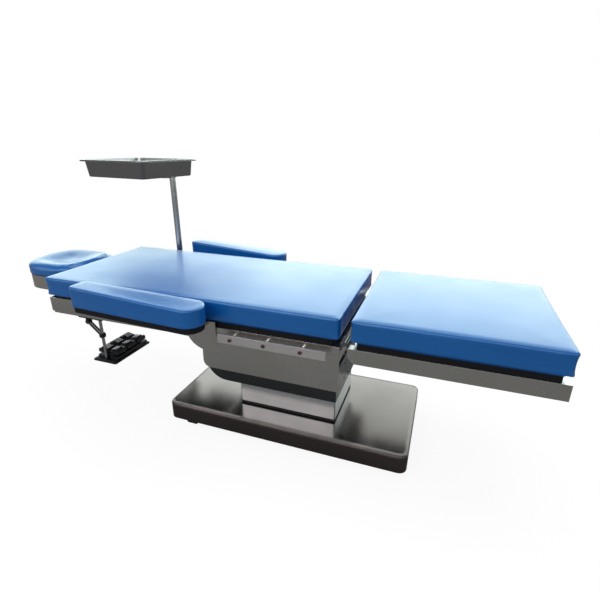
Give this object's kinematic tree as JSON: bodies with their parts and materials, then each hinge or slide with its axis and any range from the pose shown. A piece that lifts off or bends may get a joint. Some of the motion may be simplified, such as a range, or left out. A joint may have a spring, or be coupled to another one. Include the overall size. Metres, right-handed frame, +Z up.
{
  "type": "ophthalmic operating table",
  "caption": "Wheeled steel operating table with lifting column, tilting cushioned top, hinged leg part, sliding headrest, armrests, post tray and hanging foot switch.",
  "frame": {"origin": "on the floor, under the centre of the whole table", "axes": "+X towards the foot end, +Y towards the side with the instrument tray post, +Z up"},
  "size_m": [2.081, 0.9512, 0.986],
  "materials": {
    "brushed_stainless": "satin",
    "base_stainless": "satin",
    "bright_steel": "polished",
    "dark_frame": "satin",
    "black_board": "satin",
    "black_plastic": "satin",
    "black_rubber": "matte",
    "blue_vinyl": "satin"
  },
  "bodies": {
    "base": {"base_cover": "base_stainless", "base_chassis": "dark_frame", "column_seal": "black_rubber", "column_sleeve": "brushed_stainless", "column_guide": "dark_frame", "lift_cylinder": "dark_frame"},
    "carriage": {"lift_tube": "brushed_stainless", "carriage_head": "dark_frame", "shroud_front": "brushed_stainless", "shroud_rear": "brushed_stainless", "tilt_cylinder": "dark_frame"},
    "tilt_push_rod": {"tilt_rod": "bright_steel"},
    "back_section": {"main_frame": "brushed_stainless", "main_board": "black_board", "main_cushion": "blue_vinyl", "apron_front": "brushed_stainless", "apron_rear": "brushed_stainless", "hood_nose": "brushed_stainless", "side_rail_front": "brushed_stainless", "side_rail_rear": "brushed_stainless", "hinge_pin_leaf_front": "bright_steel", "hinge_pin_leaf_rear": "bright_steel", "post_socket": "brushed_stainless", "arm_bracket_front": "brushed_stainless", "arm_bracket_rear": "brushed_stainless", "switch_bracket": "black_plastic", "leg_cylinder": "dark_frame"},
    "leg_section": {"leg_frame": "brushed_stainless", "leg_board": "black_board", "leg_cushion": "blue_vinyl", "hinge_leaf_front": "bright_steel", "hinge_leaf_rear": "bright_steel"},
    "leg_push_rod": {"leg_rod": "bright_steel"},
    "head_rods": {"head_slide": "bright_steel"},
    "headrest": {"head_frame": "brushed_stainless", "head_board": "black_board", "head_cushion": "blue_vinyl"},
    "head_knob": {"head_clamp_knob": "black_plastic"},
    "armrest_front": {"arm_board_front": "black_board", "arm_cushion_front": "blue_vinyl"},
    "armrest_rear": {"arm_board_rear": "black_board", "arm_cushion_rear": "blue_vinyl"},
    "post": {"tray_post": "brushed_stainless"},
    "post_knob": {"post_clamp_knob": "black_plastic"},
    "tray": {"tray_holder": "brushed_stainless", "instrument_tray": "brushed_stainless"},
    "foot_switch": {"switch_rod": "brushed_stainless", "switch_base": "black_plastic"},
    "pedal_1": {"switch_pedal_1": "black_plastic"},
    "pedal_2": {"switch_pedal_2": "black_plastic"},
    "pedal_3": {"switch_pedal_3": "black_plastic"},
    "caster_head_front": {"caster_fork_head_front": "black_plastic"},
    "wheel_head_front": {"caster_wheel_head_front": "black_rubber"},
    "caster_head_rear": {"caster_fork_head_rear": "black_plastic"},
    "wheel_head_rear": {"caster_wheel_head_rear": "black_rubber"},
    "caster_foot_front": {"caster_fork_foot_front": "black_plastic"},
    "wheel_foot_front": {"caster_wheel_foot_front": "black_rubber"},
    "caster_foot_rear": {"caster_fork_foot_rear": "black_plastic"},
    "wheel_foot_rear": {"caster_wheel_foot_rear": "black_rubber"}
  },
  "joints": [
    {"name": "column_lift", "type": "slide", "parent": "base", "child": "carriage", "axis": [0, 0, 1], "range_m": [-0.03, 0.1]},
    {"name": "top_tilt", "type": "hinge", "parent": "carriage", "child": "back_section", "pos_m": [0.198, -0.07634, 0.405], "axis": [0, 1, 0], "range_deg": [-10, 10]},
    {"name": "tilt_drive", "type": "slide", "parent": "carriage", "child": "tilt_push_rod", "axis": [0, 0, 1], "range_m": [-0.03, 0.03]},
    {"name": "leg_hinge", "type": "hinge", "parent": "back_section", "child": "leg_section", "pos_m": [0.44075, -0.07634, 0.492], "axis": [0, 1, 0], "range_deg": [-20, 20]},
    {"name": "leg_drive", "type": "slide", "parent": "back_section", "child": "leg_push_rod", "axis": [1, 0, 0], "range_m": [-0.036, 0.036]},
    {"name": "head_extension", "type": "slide", "parent": "back_section", "child": "head_rods", "axis": [-1, 0, 0], "range_m": [0, 0.1]},
    {"name": "head_tilt", "type": "hinge", "parent": "head_rods", "child": "headrest", "pos_m": [-0.752, -0.07634, 0.462], "axis": [0, 1, 0], "range_deg": [-25, 8]},
    {"name": "head_knob_turn", "type": "hinge", "parent": "back_section", "child": "head_knob", "pos_m": [-0.712, -0.14634, 0.412], "axis": [0, 0, 1], "continuous": true},
    {"name": "arm_swivel_front", "type": "hinge", "parent": "back_section", "child": "armrest_front", "pos_m": [-0.04, -0.42634, 0.51], "axis": [0, 0, 1], "range_deg": [-2, 90]},
    {"name": "arm_swivel_rear", "type": "hinge", "parent": "back_section", "child": "armrest_rear", "pos_m": [-0.04, 0.27366, 0.51], "axis": [0, 0, 1], "range_deg": [-84, 8]},
    {"name": "post_height", "type": "slide", "parent": "back_section", "child": "post", "axis": [0, 0, 1], "range_m": [-0.15, 0.05]},
    {"name": "post_knob_turn", "type": "hinge", "parent": "back_section", "child": "post_knob", "pos_m": [-0.558, 0.30166, 0.4565], "axis": [0, 1, 0], "continuous": true},
    {"name": "tray_swivel", "type": "hinge", "parent": "post", "child": "tray", "pos_m": [-0.558, 0.26566, 0.898], "axis": [0, 0, 1], "continuous": true},
    {"name": "switch_swivel", "type": "hinge", "parent": "back_section", "child": "foot_switch", "pos_m": [-0.535, -0.31234, 0.345], "axis": [0, 0, 1], "range_deg": [-90, 90]},
    {"name": "pedal_rock_1", "type": "hinge", "parent": "foot_switch", "child": "pedal_1", "pos_m": [-0.535, -0.27567, 0.265], "axis": [0, 1, 0], "range_deg": [-7, 7], "stiffness_Nm_per_rad": 1.5},
    {"name": "pedal_rock_2", "type": "hinge", "parent": "foot_switch", "child": "pedal_2", "pos_m": [-0.535, -0.21834, 0.265], "axis": [0, 1, 0], "range_deg": [-7, 7], "stiffness_Nm_per_rad": 1.5},
    {"name": "pedal_rock_3", "type": "hinge", "parent": "foot_switch", "child": "pedal_3", "pos_m": [-0.535, -0.161, 0.265], "axis": [0, 1, 0], "range_deg": [-7, 7], "stiffness_Nm_per_rad": 1.5},
    {"name": "swivel_head_front", "type": "hinge", "parent": "base", "child": "caster_head_front", "pos_m": [-0.177, -0.24834, 0.06], "axis": [0, 0, 1], "continuous": true},
    {"name": "roll_head_front", "type": "hinge", "parent": "caster_head_front", "child": "wheel_head_front", "pos_m": [-0.177, -0.27034, 0.025], "axis": [1, 0, 0], "continuous": true},
    {"name": "swivel_head_rear", "type": "hinge", "parent": "base", "child": "caster_head_rear", "pos_m": [-0.177, 0.09566, 0.06], "axis": [0, 0, 1], "continuous": true},
    {"name": "roll_head_rear", "type": "hinge", "parent": "caster_head_rear", "child": "wheel_head_rear", "pos_m": [-0.177, 0.11766, 0.025], "axis": [1, 0, 0], "continuous": true},
    {"name": "swivel_foot_front", "type": "hinge", "parent": "base", "child": "caster_foot_front", "pos_m": [0.548, -0.20634, 0.06], "axis": [0, 0, 1], "continuous": true},
    {"name": "roll_foot_front", "type": "hinge", "parent": "caster_foot_front", "child": "wheel_foot_front", "pos_m": [0.548, -0.18434, 0.025], "axis": [1, 0, 0], "continuous": true},
    {"name": "swivel_foot_rear", "type": "hinge", "parent": "base", "child": "caster_foot_rear", "pos_m": [0.548, 0.05366, 0.06], "axis": [0, 0, 1], "continuous": true},
    {"name": "roll_foot_rear", "type": "hinge", "parent": "caster_foot_rear", "child": "wheel_foot_rear", "pos_m": [0.548, 0.03166, 0.025], "axis": [1, 0, 0], "continuous": true}
  ],
  "couplings": [
    {"joint": "tilt_drive", "follows": "top_tilt", "m_per_rad": 0.157},
    {"joint": "leg_drive", "follows": "leg_hinge", "m_per_rad": -0.0902}
  ]
}
